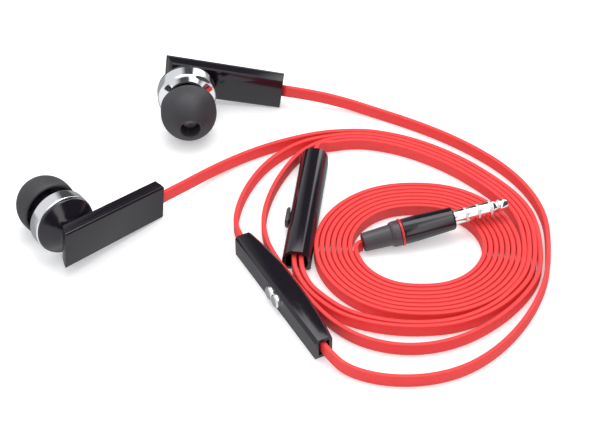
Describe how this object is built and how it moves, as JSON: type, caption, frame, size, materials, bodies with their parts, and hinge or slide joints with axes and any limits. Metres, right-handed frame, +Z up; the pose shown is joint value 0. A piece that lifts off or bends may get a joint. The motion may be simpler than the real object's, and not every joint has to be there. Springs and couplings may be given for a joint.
{
  "type": "wired earphones",
  "caption": "In-ear earphones with canted pods on flat bars, a flat cord in a coil, a splitter with a volume slider, a microphone bar with a button, and a jack plug.",
  "frame": {"origin": "on the table below the middle of the two earpieces", "axes": "+Z up, +Y away from the viewer, +X to the viewer's right, where the coil lies"},
  "size_m": [0.1271, 0.1083, 0.0151],
  "materials": {
    "silicone": "soft satin silicone",
    "gloss_black": "polished black plastic",
    "matt_black": "fine matt black plastic",
    "chrome_trim": "bright chrome plating",
    "sound_mesh": "fine woven steel mesh",
    "red_cord": "satin red elastomer jacket",
    "red_band": "gloss red plastic",
    "silver_button": "satin silver plating",
    "jack_metal": "polished nickel plating",
    "insulator": "white insulating plastic",
    "driver_steel": "plain plated steel",
    "driver_magnet": "nickel plated magnet",
    "copper": "enamelled copper",
    "clear_film": "thin polymer film",
    "board": "green circuit board"
  },
  "bodies": {
    "earphones": {"left_chrome_ring": "chrome_trim", "left_cord": "red_cord", "left_cord_clamp": "matt_black", "left_diaphragm": "clear_film", "left_driver_frame": "matt_black", "left_driver_magnet": "driver_magnet", "left_driver_yoke": "driver_steel", "left_front_housing": "gloss_black", "left_lead_wires": "copper", "left_nozzle_mesh": "sound_mesh", "left_pole_plate": "driver_steel", "left_rear_cup": "gloss_black", "left_stem_body": "gloss_black", "left_stem_cover": "gloss_black", "left_voice_coil": "copper", "main_cord": "red_cord", "main_cord_coil": "red_cord", "mic_board": "board", "mic_capsule": "driver_steel", "mic_cord": "red_cord", "mic_housing": "gloss_black", "mic_side_plate": "matt_black", "mic_switch": "driver_steel", "plug_band": "red_band", "plug_barrel": "gloss_black", "plug_front_ring": "jack_metal", "plug_insulator": "insulator", "plug_rear_ring": "jack_metal", "plug_sleeve": "jack_metal", "plug_strain_relief": "matt_black", "plug_tip": "jack_metal", "right_chrome_ring": "chrome_trim", "right_cord": "red_cord", "right_cord_clamp": "matt_black", "right_diaphragm": "clear_film", "right_driver_frame": "matt_black", "right_driver_magnet": "driver_magnet", "right_driver_yoke": "driver_steel", "right_front_housing": "gloss_black", "right_lead_wires": "copper", "right_nozzle_mesh": "sound_mesh", "right_pole_plate": "driver_steel", "right_rear_cup": "gloss_black", "right_stem_body": "gloss_black", "right_stem_cover": "gloss_black", "right_voice_coil": "copper", "splitter_cord_block": "matt_black", "splitter_lower_shell": "gloss_black", "splitter_upper_shell": "gloss_black", "volume_board": "board"},
    "left_tip": {"left_ear_tip": "silicone"},
    "right_tip": {"right_ear_tip": "silicone"},
    "mic_button": {"mic_button": "silver_button"},
    "volume_slider": {"volume_knob": "matt_black", "volume_wiper": "copper"}
  },
  "joints": [
    {"name": "left_tip_pull", "type": "slide", "parent": "earphones", "child": "left_tip", "axis": [-0.5659, 0.8233, -0.0441], "range_m": [0, 0.0085]},
    {"name": "right_tip_pull", "type": "slide", "parent": "earphones", "child": "right_tip", "axis": [0.1147, -0.9924, -0.0441], "range_m": [0, 0.0085]},
    {"name": "mic_button_press", "type": "slide", "parent": "earphones", "child": "mic_button", "axis": [0.8854, 0.4648, 0], "range_m": [0, 0.0004], "stiffness_N_per_m": 300, "springref_m": -0.0003},
    {"name": "volume_slide", "type": "slide", "parent": "earphones", "child": "volume_slider", "axis": [0.1149, 0.9934, 0], "range_m": [-0.0008, 0.0082]}
  ]
}
